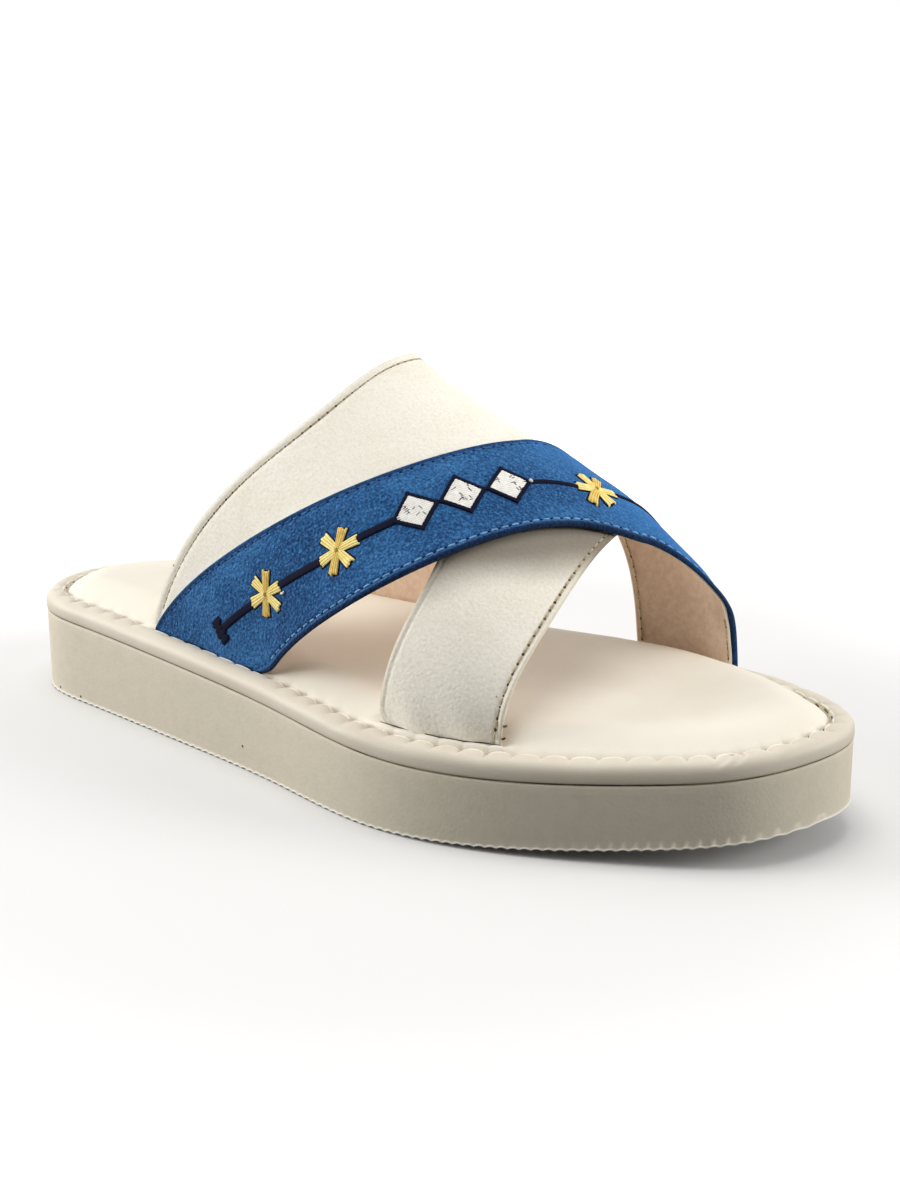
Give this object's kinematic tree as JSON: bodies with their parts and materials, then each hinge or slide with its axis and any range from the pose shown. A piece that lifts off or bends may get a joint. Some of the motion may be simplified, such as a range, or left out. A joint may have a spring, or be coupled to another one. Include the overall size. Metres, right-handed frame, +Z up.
{
  "type": "arabic slipper",
  "caption": "Right-foot slide sandal: thick moulded foam sole, wrapped rim and padded leather insole, crossed leather straps with an embroidered blue strap on top",
  "frame": {"origin": "On the floor plane under the middle of the sole's length and width", "axes": "+X points to the toe along the sole, +Y to the inner side of this right foot, +Z up"},
  "size_m": [0.2856, 0.1146, 0.1194],
  "materials": {
    "sole_foam": "matt moulded foam",
    "rim_leather": "smooth soft leather, satin",
    "insole_leather": "smooth padded leather, satin",
    "cream_suede": "suede nap, matt",
    "blue_nubuck": "nubuck nap, matt"
  },
  "bodies": {
    "root": {"sole": "sole_foam", "rim": "rim_leather", "insole": "insole_leather", "upper": "cream_suede", "blue_strap": "blue_nubuck"}
  },
  "joints": []
}
